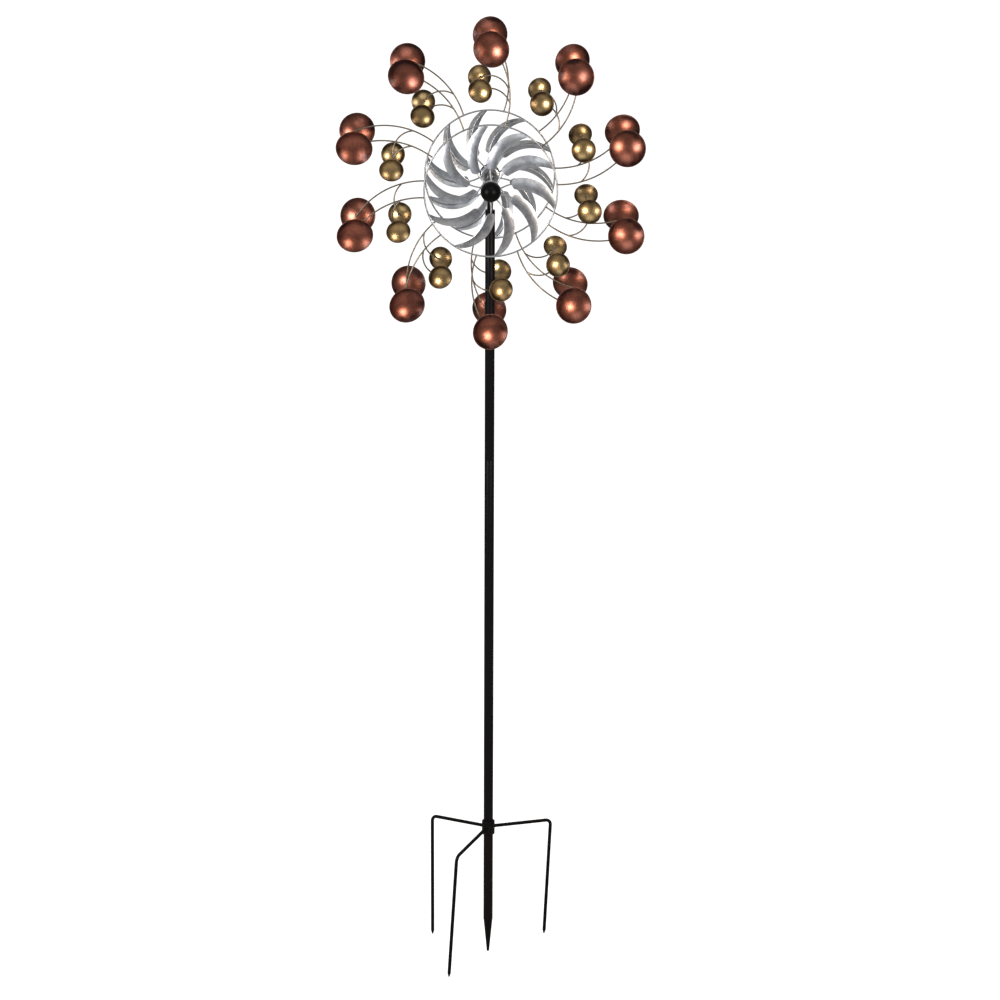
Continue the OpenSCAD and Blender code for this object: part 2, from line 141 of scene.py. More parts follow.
@dataclass(frozen=True)
class Arc:
    """A circular arc that turns left on its way from one point to another.

    Args:
        start: Where the arc begins.
        end: Where it ends.
        sweep: The angle it turns through, in radians.
    """

    start: Vector
    end: Vector
    sweep: float

    @property
    def chord(self) -> Vector:
        """The straight line from the start to the end."""
        return self.end - self.start

    @property
    def radius(self) -> float:
        """The arc's radius."""
        return self.chord.length / 2 / math.sin(self.sweep / 2)

    @property
    def first_angle(self) -> float:
        """The polar angle of the start about the arc's centre, in the arc's frame."""
        return -math.pi / 2 - self.sweep / 2

    @property
    def place(self) -> Matrix:
        """The matrix from the arc's centre frame to the frame of its end points."""
        heading = math.atan2(self.chord.y, self.chord.x)
        rise = math.asin(self.chord.z / self.chord.length)
        centre = Vector((self.chord.length / 2, self.radius * math.cos(self.sweep / 2), 0))
        return (
            Matrix.Translation(self.start)
            @ Matrix.Rotation(heading, 4, "Z")
            @ Matrix.Rotation(-rise, 4, "Y")
            @ Matrix.Translation(centre)
        )

    def point(self, share: float) -> Vector:
        """The point at a share of the way along the arc."""
        angle = self.first_angle + share * self.sweep
        flat = Vector((math.cos(angle), math.sin(angle), 0)) * self.radius
        return self.place @ flat


def polar(radius: float, angle: float, height: float = 0.0) -> Vector:
    """The point at a radius and an angle in degrees about +Z, at a height."""
    turn = math.radians(angle)
    return Vector((radius * math.cos(turn), radius * math.sin(turn), height))


def clamped(value: float) -> float:
    """A value kept between 0 and 1."""
    return max(0.0, min(1.0, value))


def direction(turn: float, rise: float) -> Vector:
    """The unit vector that points to -Y, turned towards +X and then raised towards +Z."""
    flat = math.cos(rise)
    return Vector((math.sin(turn) * flat, -math.cos(turn) * flat, math.sin(rise)))


def mesh_from(bm: bmesh.types.BMesh) -> bpy.types.Mesh:
    """Cleans a bmesh, turns its faces outwards and returns it as a mesh; it is freed."""
    bmesh.ops.remove_doubles(bm, verts=bm.verts, dist=MERGE)
    bmesh.ops.recalc_face_normals(bm, faces=bm.faces)
    mesh = bpy.data.meshes.new("part")
    bm.to_mesh(mesh)
    bm.free()
    return mesh


def swept_circle(
    radius: float, gauge: float, sides: int, steps: int, angle: float = TURN,
) -> bmesh.types.BMesh:
    """A round section swept about +Z, open at its ends unless it goes all the way.

    Args:
        radius: The radius of the section's path.
        gauge: The section's diameter.
        sides: Number of sides round the section.
        steps: Number of lengths along the path.
        angle: The angle it is swept through, in radians.

    Returns:
        A bmesh of the swept surface.
    """
    bm = bmesh.new()
    section = Matrix.Translation((radius, 0, 0)) @ Matrix.Rotation(math.pi / 2, 4, "X")
    bmesh.ops.create_circle(bm, segments=sides, radius=gauge / 2, matrix=section)
    bmesh.ops.spin(
        bm, geom=bm.verts[:] + bm.edges[:], cent=(0, 0, 0), axis=(0, 0, 1),
        angle=angle, steps=steps, use_merge=angle == TURN,
    )
    return bm


def bent_wire(arc: Arc, gauge: float, steps: int, spare: float = 0.0) -> bpy.types.Mesh:
    """Round wire along an arc, closed at both ends with small bevels.

    Args:
        arc: The wire's centre line.
        gauge: The wire's diameter.
        steps: Number of lengths along it.
        spare: Length of wire past the arc's end.

    Returns:
        The wire's mesh, in the frame of the arc's end points.
    """
    bm = swept_circle(arc.radius, gauge, 14, steps, arc.sweep + spare / arc.radius)
    rims = [edge for edge in bm.edges if edge.is_boundary]
    bmesh.ops.holes_fill(bm, edges=rims, sides=0)
    bmesh.ops.bevel(
        bm, geom=rims, offset=gauge * 0.16, offset_type="OFFSET", segments=2,
        profile=0.5, affect="EDGES", material=-1, clamp_overlap=True,
    )
    turned = arc.place @ Matrix.Rotation(arc.first_angle, 4, "Z")
    bmesh.ops.transform(bm, matrix=turned, verts=bm.verts)
    return mesh_from(bm)


def lathe(outline: Outline, steps: int = 64, closed: bool = False) -> bpy.types.Mesh:
    """A turned shape: an outline of (radius, height) points spun about +Z.

    Args:
        outline: The points in order; the ends of an open outline lie on the axis.
        steps: Number of lengths round the axis.
        closed: True if the last point joins the first, as on a tube.

    Returns:
        The shape's mesh.
    """
    bm = bmesh.new()
    verts = [bm.verts.new((radius, 0, height)) for radius, height in outline]
    pairs = list(zip(verts, verts[1:]))
    if closed:
        pairs.append((verts[-1], verts[0]))
    edges = [bm.edges.new(pair) for pair in pairs]
    bmesh.ops.spin(
        bm, geom=verts + edges, cent=(0, 0, 0), axis=(0, 0, 1),
        angle=TURN, steps=steps, use_merge=True,
    )
    return mesh_from(bm)


def tube_outline(inner: float, outer: float, low: float, high: float, edge: float) -> Outline:
    """The closed outline of a tube's wall, from its bore, with its outer edges broken."""
    bevel = edge * 0.3
    return [
        (inner, low), (outer - edge, low), (outer - bevel, low + bevel), (outer, low + edge),
        (outer, high - edge), (outer - bevel, high - bevel), (outer - edge, high), (inner, high),
    ]


def weld_bead(size: float, flatness: float, seed: float) -> bpy.types.Mesh:
    """A small uneven blob of weld metal about the origin.

    Args:
        size: The bead's diameter.
        flatness: Its height as a share of that.
        seed: Picks how it is uneven.

    Returns:
        The bead's mesh.
    """
    bm = bmesh.new()
    bmesh.ops.create_icosphere(bm, subdivisions=2, radius=size / 2)
    for vert in bm.verts:
        vert.co *= 1 + 0.16 * noise.noise(vert.co / size * 2.6 + Vector((seed, 0, 0)))
    bmesh.ops.scale(bm, vec=(1, 1, flatness), verts=bm.verts)
    return mesh_from(bm)


def fillet_weld(radius: float, size: float, seed: float) -> bpy.types.Mesh:
    """A ring of weld with fine ripples, laid round a shaft along +Z.

    Args:
        radius: The shaft's radius.
        size: The weld's thickness.
        seed: Picks how it is uneven.

    Returns:
        The weld's mesh.
    """
    bm = swept_circle(radius, size, 8, 72)
    bmesh.ops.remove_doubles(bm, verts=bm.verts, dist=MERGE)
    shift = Vector((0, 0, seed))
    for vert in bm.verts:
        turn = math.atan2(vert.co.y, vert.co.x)
        centre = polar(radius, math.degrees(turn))
        ripple = 1 + 0.12 * math.sin(turn * 26 + seed) + 0.18 * noise.noise(vert.co * 260 + shift)
        vert.co = centre + (vert.co - centre) * ripple
    return mesh_from(bm)


class Workpiece:
    """A piece of the object, put together from shaped parts and then dressed.

    Each vertex keeps two attributes: its place in its own part's frame, shifted by a
    seed, which patterns follow, and how near it is to an edge that wears.
    """

    def __init__(self) -> None:
        """Starts with nothing in the piece."""
        self.bm = bmesh.new()
        self.grain = self.bm.verts.layers.float_vector.new(GRAIN)
        self.edge = self.bm.verts.layers.float.new(EDGE)

    def add(
        self,
        part: bpy.types.Mesh,
        place: Matrix = Matrix.Identity(4),
        seed: float = 0.0,
        edge: Optional[Callable[[Vector], float]] = None,
    ) -> None:
        """Adds a copy of a part.

        Args:
            part: The part's mesh, in its own frame.
            place: The matrix to the row frame.
            seed: Shifts the part's pattern.
            edge: How near a point of the part is to a worn edge, from 0 to 1.
        """
        first = len(self.bm.verts)
        self.bm.from_mesh(part)
        self.bm.verts.ensure_lookup_table()
        verts = self.bm.verts[first:]
        for vert in verts:
            vert[self.grain] = vert.co + Vector((0, 0, seed))
            vert[self.edge] = edge(vert.co) if edge else 0.0
        bmesh.ops.transform(self.bm, matrix=place, verts=verts)
        if place.determinant() < 0:
            faces = list({face for vert in verts for face in vert.link_faces})
            bmesh.ops.reverse_faces(self.bm, faces=faces)

    def finish(
        self, name: str, material: bpy.types.Material, slot: str, body: str,
        nodes: Sequence[str] = (), crease: float = 32.0,
    ) -> None:
        """Makes the piece an object that rides on its body.

        Args:
            name: The piece's name.
            material: Its finish.
            slot: Not used.
            body: The CAD body it moves with.
            nodes: The CAD nodes it stands for.
            crease: Edges sharper than this many degrees stay sharp.
        """
        mesh = bpy.data.meshes.new(name)
        self.bm.to_mesh(mesh)
        self.bm.free()
        mesh.shade_smooth()
        mesh.set_sharp_from_angle(angle=math.radians(crease))
        mesh.materials.append(material)
        piece = bpy.data.objects.new(name, mesh)
        bpy.context.scene.collection.objects.link(piece)
        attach(piece, body)
        if nodes:
            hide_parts(*nodes)
        LOG.info("%s: %d faces on %s", name, len(mesh.polygons), body)


# ---------------------------------------------------------------- finishes


class Shader:
    """A few short words for building a node tree."""

    def __init__(self, tree: bpy.types.NodeTree) -> None:
        """Takes the tree that nodes go in."""
        self.tree = tree

    def feed(self, socket: Socket, value: Value) -> None:
        """Joins an output to an input, or sets the input to a constant."""
        if isinstance(value, Socket):
            self.tree.links.new(value, socket)
        else:
            socket.default_value = value

    def node(self, kind: str, **values: object) -> bpy.types.Node:
        """Adds a node, then sets its properties or feeds its inputs, by name.

        Args:
            kind: The node's type, without ShaderNode before it.
            **values: Properties such as operation, or inputs such as Scale.

        Returns:
            The new node.
        """
        node = self.tree.nodes.new(f"ShaderNode{kind}")
        for key, value in values.items():
            if hasattr(node, key):
                setattr(node, key, value)
            else:
                self.feed(node.inputs[key.replace("_", " ")], value)
        return node

    def math(self, operation: str, first: Value, second: Value, clamp: bool = False) -> Socket:
        """Adds a Math node on two numbers or outputs and returns its result."""
        node = self.node("Math", operation=operation, use_clamp=clamp)
        self.feed(node.inputs[0], first)
        self.feed(node.inputs[1], second)
        return node.outputs[0]

    def times(self, first: Value, second: Value, clamp: bool = False) -> Socket:
        """The product of two numbers or outputs."""
        return self.math("MULTIPLY", first, second, clamp)

    def plus(self, first: Value, second: Value, clamp: bool = False) -> Socket:
        """The sum of two numbers or outputs."""
        return self.math("ADD", first, second, clamp)

    def mix(self, factor: Value, first: Value, second: Value) -> Socket:
        """Mixes two colours by a factor; each is a colour or an output."""
        node = self.node("Mix", data_type="RGBA")
        for index, value in zip(COLOUR_MIX_INPUTS, (factor, first, second)):
            self.feed(node.inputs[index], value)
        return node.outputs[COLOUR_MIX_RESULT]

    def noise(self, vector: Socket, scale: float, detail: float = 3.0, rough: float = 0.55) -> Socket:
        """Adds a Noise Texture on a vector and returns its value."""
        node = self.node("TexNoise", Vector=vector, Scale=scale, Detail=detail, Roughness=rough)
        return node.outputs[0]

    def stretch(self, vector: Socket, scale: tuple[float, float, float]) -> Socket:
        """Adds a Mapping node that scales a vector and returns the result."""
        return self.node("Mapping", Vector=vector, Scale=scale).outputs[0]

    def ramp(self, value: Socket, low: float, high: float) -> Socket:
        """Maps a value from between two levels to 0 to 1, smoothly and clamped."""
        node = self.node(
            "MapRange", interpolation_type="SMOOTHSTEP", Value=value, From_Min=low, From_Max=high)
        return node.outputs[0]


class GroupMaker(Shader):
    """Builds a shader node group that works on a pattern vector."""

    def __init__(self, name: str, results: Sequence[str], **inputs: Value) -> None:
        """Starts the group.

        Args:
            name: The group's name.
            results: Its outputs; one called Color is a colour, the others are numbers.
            **inputs: Its inputs besides Vector, each with a number or a colour to start from.
        """
        super().__init__(bpy.data.node_groups.new(name, "ShaderNodeTree"))
        sockets = self.tree.interface
        sockets.new_socket(name="Vector", in_out="INPUT", socket_type="NodeSocketVector")
        for key, value in inputs.items():
            kind = "NodeSocketColor" if isinstance(value, tuple) else "NodeSocketFloat"
            sockets.new_socket(name=key, in_out="INPUT", socket_type=kind).default_value = value
        for key in results:
            kind = "NodeSocketColor" if key == "Color" else "NodeSocketFloat"
            sockets.new_socket(name=key, in_out="OUTPUT", socket_type=kind)
        self.given = self.tree.nodes.new("NodeGroupInput").outputs
        self.out = self.tree.nodes.new("NodeGroupOutput").inputs

    def give(self, **results: Socket) -> bpy.types.NodeTree:
        """Joins the results to the group's outputs and returns the group."""
        for key, value in results.items():
            self.feed(self.out[key], value)
        return self.tree


def brushed_patina_group() -> bpy.types.NodeTree:
    """Brushed metal paint: long fine strokes over cloudy dark patches, with painted shade darkening a dish
    towards its rim.

    Returns:
        A group from a pattern vector to a colour, a roughness and a height.
    """
    maker = GroupMaker(
        "brushed_patina", ("Color", "Roughness", "Height"), Bright=GREY, Middle=GREY, Dark=GREY,
        Patches=0.6, Strokes=0.5, Roughness=0.3, Rim=1.0, Shade=0.0,
    )
    given = maker.given
    vector = given["Vector"]
    flat = maker.stretch(vector, (1, 1, 0))
    away = maker.node("VectorMath", operation="LENGTH", Vector=flat).outputs["Value"]
    # Painted shade: the Dark colour is laid in towards a dish's rim, by Shade, for a dish's shaded edges.
    rim_shade_ramp = maker.ramp(maker.math("DIVIDE", away, given["Rim"]), 0.4, 1.0)
    strokes = maker.noise(maker.stretch(vector, STROKES_FINE), 1.0, 4.0, 0.65)
    hatch = maker.noise(maker.stretch(vector, HATCHING_FINE), 1.0, 3.0, 0.6)
    clouds = maker.noise(vector, 34.0, 3.0, 0.5)
    lit_share = maker.times(maker.ramp(strokes, 0.42, 0.72), given["Strokes"])
    cloudy = maker.times(maker.ramp(clouds, 0.44, 0.66), given["Patches"])
    hatched = maker.times(maker.ramp(hatch, 0.5, 0.75), given["Patches"])
    lit = maker.mix(lit_share, given["Middle"], given["Bright"])
    patches = maker.math("MAXIMUM", cloudy, maker.times(hatched, 0.6))
    # The dark share is the patina patches together with the painted shade at the rim.
    dark = maker.plus(patches, maker.times(rim_shade_ramp, given["Shade"]), clamp=True)
    streaked = maker.times(maker.math("SUBTRACT", strokes, 0.5), 0.12)
    duller = maker.plus(given["Roughness"], maker.times(dark, 0.16))
    return maker.give(
        Color=maker.mix(dark, lit, given["Dark"]),
        Roughness=maker.plus(duller, streaked, clamp=True),
        Height=maker.plus(maker.times(strokes, 0.7), maker.times(hatch, 0.3)),
    )


def spangle_group() -> bpy.types.NodeTree:
    """Galvanised zinc: soft clouds, crystal spangles and rubbed streaks.

    Returns:
        A group from a pattern vector to a mottling mask, a streak mask and a height.
    """
    maker = GroupMaker("spangle", ("Mottle", "Streak", "Height"), Scale=60.0)
    vector = maker.node(
        "VectorMath", operation="SCALE", Vector=maker.given["Vector"], Scale=maker.given["Scale"],
    ).outputs[0]
    crystals = maker.node("TexVoronoi", feature="F1", Vector=vector, Scale=2.6).outputs["Color"]
    shade = maker.node("SeparateColor", Color=crystals).outputs[0]
    clouds = maker.ramp(maker.noise(vector, 0.55, 4.0, 0.6), 0.38, 0.66)
    streaks = maker.noise(maker.stretch(vector, STREAKS_DRAWN), 1.0, 4.0, 0.6)
    return maker.give(
        Mottle=maker.plus(maker.times(clouds, 0.8), maker.times(shade, 0.2)),
        Streak=maker.ramp(streaks, 0.5, 0.74),
        Height=maker.plus(maker.times(streaks, 0.6), maker.times(clouds, 0.4)),
    )


def worn_edge_group() -> bpy.types.NodeTree:
    """Wear along edges: the edge attribute, broken up by a fine noise.

    Returns:
        A group from a pattern vector and an amount to a mask.
    """
    maker = GroupMaker("worn_edge", ("Mask",), Amount=0.5)
    edge = maker.node("Attribute", attribute_name=EDGE).outputs["Fac"]
    broken = maker.ramp(maker.noise(maker.given["Vector"], 420.0), 0.35, 0.65)
    mask = maker.times(edge, maker.plus(maker.times(broken, 0.6), 0.4))
    return maker.give(Mask=maker.times(mask, maker.given["Amount"], clamp=True))


def satin_grain_group() -> bpy.types.NodeTree:
    """Sprayed paint: a fine orange peel with a few scuffs.

    Returns:
        A group from a pattern vector to a scuff mask and a height.
    """
    maker = GroupMaker("satin_grain", ("Scuff", "Height"), Peel=900.0)
    vector = maker.given["Vector"]
    peel = maker.node("TexNoise", Vector=vector, Scale=maker.given["Peel"], Detail=2.0).outputs[0]
    scuffs = maker.noise(maker.stretch(vector, SCUFFS_FINE), 1.0, 5.0, 0.7)
    return maker.give(Scuff=maker.ramp(scuffs, 0.6, 0.8), Height=peel)


class Groups:
    """The effects that more than one finish uses, each built once."""

    def __init__(self) -> None:
        """Builds the groups."""
        self.patina = brushed_patina_group()
        self.spangle = spangle_group()
        self.worn_edge = worn_edge_group()
        self.satin = satin_grain_group()


class MaterialMaker(Shader):
    """Starts a material with a Principled shader and places groups in it."""

    def __init__(self, name: str, on_grain: bool = True) -> None:
        """Makes the material.

        Args:
            name: The material's name.
            on_grain: True to read the grain attribute, False for Object coordinates.
        """
        self.material = bpy.data.materials.new(name)
        self.material.use_nodes = True
        super().__init__(self.material.node_tree)
        self.bsdf = self.tree.nodes["Principled BSDF"]
        self.on_grain = on_grain

    @cached_property
    def vector(self) -> Socket:
        """The vector that the material's patterns follow."""
        if self.on_grain:
            return self.node("Attribute", attribute_name=GRAIN).outputs["Vector"]
        return self.node("TexCoord").outputs["Object"]

    def group(self, tree: bpy.types.NodeTree, **values: Value) -> bpy.types.NodeOutputs:
        """Places a group on the pattern vector and returns its outputs.

        Args:
            tree: The group.
            **values: The group's inputs by name.

        Returns:
            The group's outputs.
        """
        return self.node("Group", node_tree=tree, Vector=self.vector, **values).outputs

    def feed_shader(self, **values: Value) -> None:
        """Feeds the Principled shader's own sockets, by name."""
        for key, value in values.items():
            self.feed(self.bsdf.inputs[key.replace("_", " ")], value)

    def bump(self, height: Socket, distance: float) -> None:
        """Feeds a height to the shader's normal through a Bump node."""
        bump = self.node("Bump", Height=height, Distance=distance, Strength=1.0)
        self.feed_shader(Normal=bump.outputs[0])


@dataclass(frozen=True)
class BrushedPaint:
    """Antiqued metal paint with brush strokes, for dishes and wires.

    Args:
        name: The material's name.
        bright: The colour of the strokes.
        middle: The main colour.
        dark: The colour of the patina, and of the painted shade towards a dish's rim.
        rim: The colour that worn edges show.
        roughness: How dull the main colour is.
        patches: How much patina there is.
        relief: The height of the strokes.
        strokes: How much the strokes show.
        wear: How much the edges are worn.
        metal: How metallic the paint is.
        rim_r: The radius of a dish's rim, towards which painted shade darkens the paint.
        shade: How strong that painted shade is at the rim.
    """

    name: str
    bright: Colour
    middle: Colour
    dark: Colour
    rim: Colour
    roughness: float
    patches: float
    relief: float
    strokes: float = 0.6
    wear: float = 0.5
    metal: float = 1.0
    rim_r: float = 1.0
    shade: float = 0.0

    def make(self, groups: Groups) -> bpy.types.Material:
        """Builds the material."""
        maker = MaterialMaker(self.name)
        patina = maker.group(
            groups.patina, Bright=self.bright, Middle=self.middle, Dark=self.dark,
            Patches=self.patches, Strokes=self.strokes, Roughness=self.roughness,
            Rim=self.rim_r, Shade=self.shade,
        )
        worn = maker.group(groups.worn_edge, Amount=self.wear)
        maker.feed_shader(
            Base_Color=maker.mix(worn["Mask"], patina["Color"], self.rim),
            Roughness=patina["Roughness"], Metallic=self.metal, Coat_Weight=0.25, Coat_Roughness=0.22,
        )
        maker.bump(patina["Height"], self.relief)
        return maker.material


@dataclass(frozen=True)
class Zinc:
    """Galvanised metal with mottling, for blades, wires and hubs.

    Args:
        name: The material's name.
        light: The colour of the clean metal.
        grey: The colour of the mottling.
        edge: The colour that worn edges show.
        scale: The size of the pattern, in patterns a metre.
        mottle: How much the mottling shows.
        roughness: How dull the metal is.
        relief: The height of the streaks.
    """

    name: str
    light: Colour
    grey: Colour
    edge: Colour
    scale: float
    mottle: float
    roughness: float
    relief: float = 0.05 * MM

    def make(self, groups: Groups) -> bpy.types.Material:
        """Builds the material."""
        maker = MaterialMaker(self.name)
        spangle = maker.group(groups.spangle, Scale=self.scale)
        worn = maker.group(groups.worn_edge, Amount=0.6)
        mottled = maker.mix(maker.times(spangle["Mottle"], self.mottle), self.light, self.grey)
        streaked = maker.mix(maker.times(spangle["Streak"], 0.35), mottled, self.light)
        dull = maker.times(spangle["Mottle"], 0.18)
        maker.feed_shader(
            Base_Color=maker.mix(worn["Mask"], streaked, self.edge),
            Roughness=maker.plus(dull, self.roughness, clamp=True), Metallic=1.0,
        )
        maker.bump(spangle["Height"], self.relief)
        return maker.material


@dataclass(frozen=True)
class SatinBlack:
    """Black paint or plastic, for the pole, the stake and the caps.

    Args:
        name: The material's name.
        colour: The paint's colour.
        scuffed: The colour of scuffs and worn edges.
        roughness: How dull the paint is.
        peel: The fineness of the orange peel.
        relief: Its height.
        coat: How much clear coat there is.
        gloss: The specular level, where 0.5 is that of common paint.
    """

    name: str
    colour: Colour
    scuffed: Colour
    roughness: float = 0.38
    peel: float = 900.0
    relief: float = 0.02 * MM
    coat: float = 0.05
    gloss: float = 0.1

    def make(self, groups: Groups) -> bpy.types.Material:
        """Builds the material."""
        maker = MaterialMaker(self.name)
        satin = maker.group(groups.satin, Peel=self.peel)
        worn = maker.group(groups.worn_edge, Amount=0.45)
        marks = maker.math("MAXIMUM", maker.times(satin["Scuff"], 0.35), worn["Mask"])
        maker.feed_shader(
            Base_Color=maker.mix(marks, self.colour, self.scuffed),
            Roughness=maker.plus(maker.times(marks, 0.2), self.roughness, clamp=True),
            Coat_Weight=self.coat, Coat_Roughness=0.3, Specular_IOR_Level=self.gloss,
        )
        maker.bump(satin["Height"], self.relief)
        return maker.material


@dataclass(frozen=True)
class TurnedSteel:
    """Machined steel on CAD nodes, with fine turning lines about the axle.

    Args:
        name: The material's name.
        colour: The steel's colour.
        shade: The colour between its turning lines.
        roughness: How dull it is.
        relief: The height of the lines.
    """

    name: str
    colour: Colour
    shade: Colour
    roughness: float = 0.22
    relief: float = 0.02 * MM

    def make(self) -> bpy.types.Material:
        """Builds the material."""
        maker = MaterialMaker(self.name, on_grain=False)
        lines = maker.noise(maker.stretch(maker.vector, TURNING_FINE), 1.0, 3.0, 0.6)
        spots = maker.ramp(maker.noise(maker.vector, 240.0), 0.45, 0.7)
        mixed = maker.times(maker.plus(lines, spots), 0.5)
        maker.feed_shader(
            Base_Color=maker.mix(mixed, self.colour, self.shade),
            Roughness=maker.plus(maker.times(mixed, 0.2), self.roughness, clamp=True), Metallic=1.0,
        )
        maker.bump(lines, self.relief)
        return maker.material


class Palette:
    """Every finish of the sculpture, built once."""

    def __init__(self) -> None:
        """Builds the groups and the materials."""
        groups = Groups()
        # Copper dishes: darkened towards the rim as painted shade (rim_r, shade).
        self.copper = BrushedPaint(
            "antique_copper", bright=(0.64, 0.235, 0.148, 1), middle=(0.43, 0.145, 0.095, 1),
            dark=(0.05, 0.017, 0.014, 1), rim=(0.34, 0.15, 0.1, 1), roughness=0.3, patches=0.5,
            relief=0.015 * MM, rim_r=34.8 * MM, shade=0.8,
        ).make(groups)
        # Gold dishes: darkened towards the rim as painted shade (rim_r, shade).
        self.gold = BrushedPaint(
            "antique_gold", bright=(0.86, 0.63, 0.32, 1), middle=(0.65, 0.445, 0.205, 1),
            dark=(0.055, 0.033, 0.014, 1), rim=(0.4, 0.28, 0.14, 1), roughness=0.28, patches=0.45,
            relief=0.015 * MM, rim_r=23.3 * MM, shade=0.9,
        ).make(groups)
        self.bronze = BrushedPaint(
            "bronze_wire", bright=(0.42, 0.36, 0.27, 1), middle=(0.27, 0.228, 0.168, 1),
            dark=(0.07, 0.058, 0.044, 1), rim=(0.45, 0.39, 0.3, 1), roughness=0.36, patches=0.45,
            relief=0.03 * MM, metal=0.85,
        ).make(groups)
        self.scorched = BrushedPaint(
            "scorched_weld", bright=(0.12, 0.09, 0.07, 1), middle=(0.06, 0.045, 0.036, 1),
            dark=(0.02, 0.015, 0.013, 1), rim=(0.14, 0.11, 0.09, 1), roughness=0.42, patches=0.5,
            relief=0.03 * MM, metal=0.7,
        ).make(groups)
        self.blade = Zinc(
            "mottled_zinc", light=(0.84, 0.87, 0.91, 1), grey=(0.3, 0.32, 0.37, 1),
            edge=(0.6, 0.62, 0.64, 1), scale=62.0, mottle=0.9, roughness=0.34,
        ).make(groups)
        self.silver = Zinc(
            "silver_wire", light=(0.6, 0.62, 0.64, 1), grey=(0.3, 0.31, 0.33, 1),
            edge=(0.7, 0.7, 0.7, 1), scale=150.0, mottle=0.6, roughness=0.3, relief=0.02 * MM,
        ).make(groups)
        self.solder = Zinc(
            "bright_solder", light=(0.85, 0.86, 0.88, 1), grey=(0.6, 0.62, 0.66, 1),
            edge=(0.9, 0.9, 0.9, 1), scale=300.0, mottle=0.5, roughness=0.2,
        ).make(groups)
        self.chrome = Zinc(
            "plated_hub", light=(0.78, 0.79, 0.81, 1), grey=(0.55, 0.57, 0.6, 1),
            edge=(0.85, 0.86, 0.88, 1), scale=120.0, mottle=0.4, roughness=0.14, relief=0.01 * MM,
        ).make(groups)
        self.black = SatinBlack(
            "black_paint", colour=(0.0045, 0.0041, 0.0052, 1), scuffed=(0.012, 0.011, 0.012, 1),
        ).make(groups)
        self.stake = SatinBlack(
            "stake_paint", colour=(0.0042, 0.0036, 0.0038, 1), scuffed=(0.024, 0.018, 0.015, 1),
            roughness=0.46, peel=700.0,
        ).make(groups)
        self.cap = SatinBlack(
            "black_cap", colour=(0.003, 0.003, 0.0032, 1), scuffed=(0.01, 0.01, 0.01, 1),
            roughness=0.36, relief=0.01 * MM, coat=0.0,
        ).make(groups)
        self.steel = TurnedSteel(
            "turned_steel", colour=(0.7, 0.71, 0.73, 1), shade=(0.4, 0.41, 0.43, 1),
        ).make()
        # Near-black steel for the ball cages: painted shade inside the bearings.
        self.cage_shade = TurnedSteel(
            "cage_painted_shade", colour=(0.09, 0.09, 0.095, 1), shade=(0.03, 0.03, 0.032, 1),
        ).make()


# ---------------------------------------------------------------- rotors


@dataclass
class Dish:
    """A dished cup with a rolled edge, opening along +Z, its apex at the origin.

    Args:
        rim: The rim's diameter.
        depth: The depth to the rim.
        wall: The sheet's thickness.
        bead: The rolled edge's diameter.
        arc_steps: Number of lengths from the middle to the rolled edge.
        bead_steps: Number of lengths round that edge.
    """

    rim: float
    depth: float
    wall: float = 0.9 * MM
    bead: float = 1.8 * MM
    arc_steps: int = 16
    bead_steps: int = 8

    @property
    def radius(self) -> float:
        """The radius of the sphere that the dish is a part of."""
        return (self.rim ** 2 / 4 + self.depth ** 2) / 2 / self.depth

    def sheet(self, radius: float, rim: float) -> Outline:
        """One face of the dished sheet, from its middle to its rim.

        Args:
            radius: The radius of the face's sphere.
            rim: The radius at which the face ends.

        Returns:
            The face's outline.
        """
        reach = math.asin(rim / radius)
        turns = [reach * i / self.arc_steps for i in range(self.arc_steps + 1)]
        return [(radius * math.sin(turn), self.radius - radius * math.cos(turn)) for turn in turns]

    def outline(self) -> Outline:
        """The outline from the back's apex round the rolled edge to the bowl's middle."""
        bead_r = self.bead / 2
        rim = self.rim / 2 - bead_r
        roll = []
        for i in range(self.bead_steps + 1):
            turn = math.radians(-70 + 250 * i / self.bead_steps)
            roll.append((rim + bead_r * math.cos(turn), self.depth + bead_r * math.sin(turn)))
        back = self.sheet(self.radius, rim - bead_r * 0.4)
        bowl = self.sheet(self.radius - self.wall, rim - bead_r)
        return back + roll + bowl[::-1]

    def mesh(self) -> bpy.types.Mesh:
        """The dish's mesh."""
        return lathe(self.outline(), steps=72)

    def edge(self, point: Vector) -> float:
        """How near a point of the dish is to its rolled edge."""
        reach = math.hypot(point.x, point.y) / (self.rim / 2)
        return clamped((reach - 0.93) / 0.05)


def corner_angle(first: float, second: float, opposite: float) -> float:
    """The angle between two sides of a triangle, opposite its third side."""
    cosine = (first ** 2 + second ** 2 - opposite ** 2) / (2 * first * second)
    return math.acos(max(-1.0, min(1.0, cosine)))


